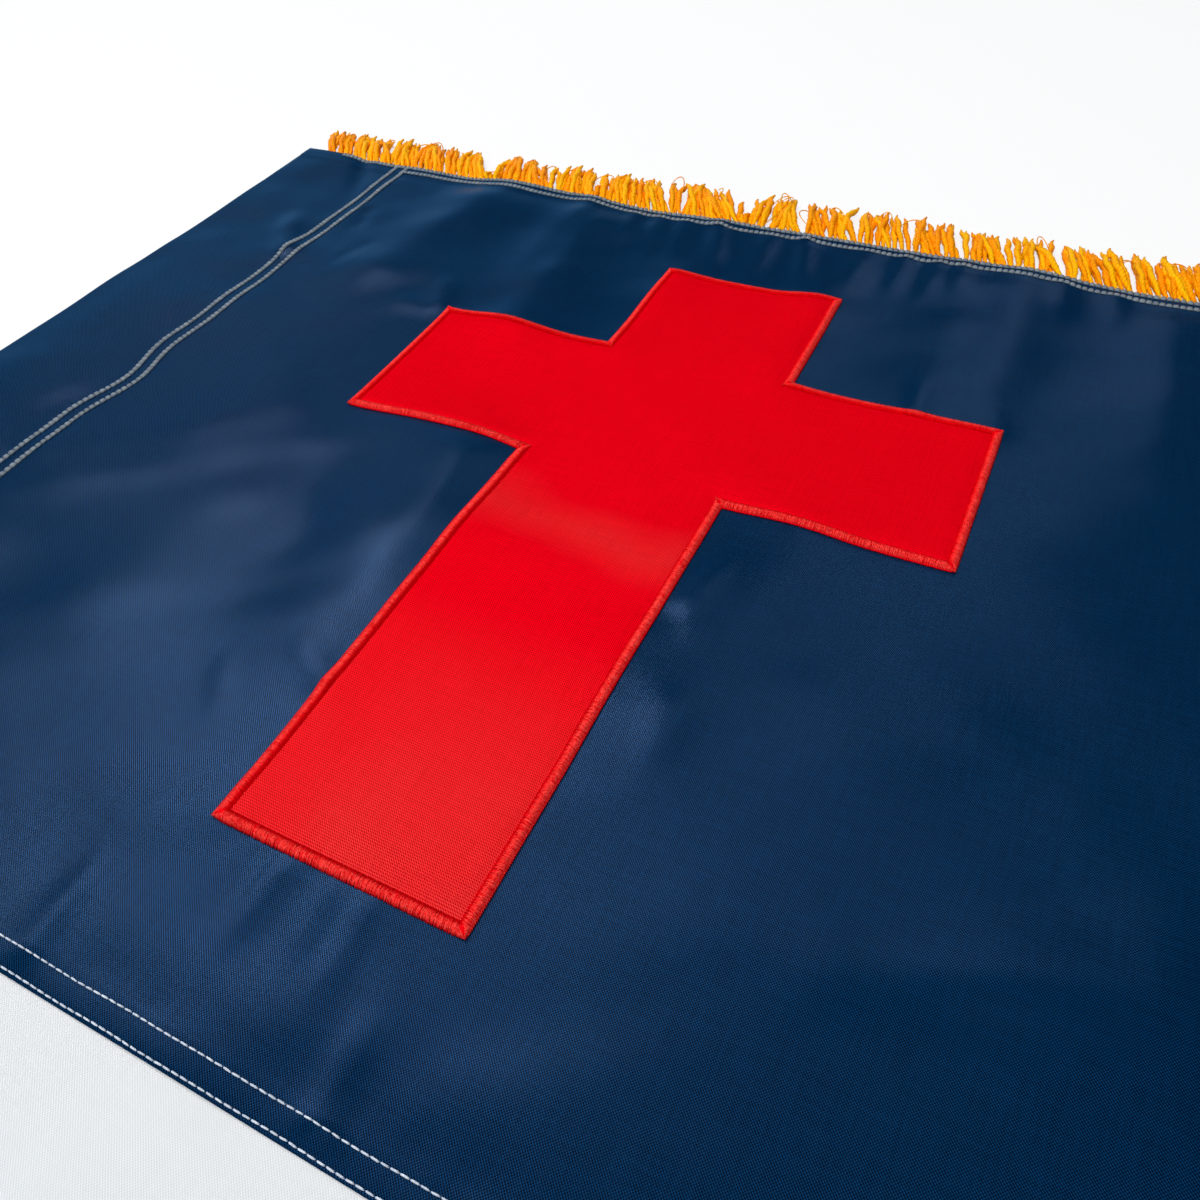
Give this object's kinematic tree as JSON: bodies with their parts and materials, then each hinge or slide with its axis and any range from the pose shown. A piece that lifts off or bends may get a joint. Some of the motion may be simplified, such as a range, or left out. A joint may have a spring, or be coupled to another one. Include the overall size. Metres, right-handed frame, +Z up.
{
  "type": "christian flag",
  "caption": "Fringed nylon flag laid out flat: white field, navy canton with a sewn red Latin cross, and a pole sleeve along the hoist.",
  "frame": {"origin": "middle of the whole outline, on the surface that the flag lies on", "axes": "+X from the hoist to the fly, +Y towards the top edge, +Z up out of the cloth's face"},
  "size_m": [1.5638, 0.9842, 0.0091],
  "materials": {
    "blue_nylon": "navy woven nylon with a soft sheen",
    "white_nylon": "white woven nylon, softly creased",
    "red_cloth": "red twill with a raised satin-stitched border",
    "gold_fringe": "twisted gold rayon cords"
  },
  "bodies": {
    "root": {"canton_blue": "blue_nylon", "field_white": "white_nylon", "cross_red": "red_cloth", "fringe_top": "gold_fringe", "fringe_fly": "gold_fringe", "fringe_bottom": "gold_fringe"}
  },
  "joints": []
}
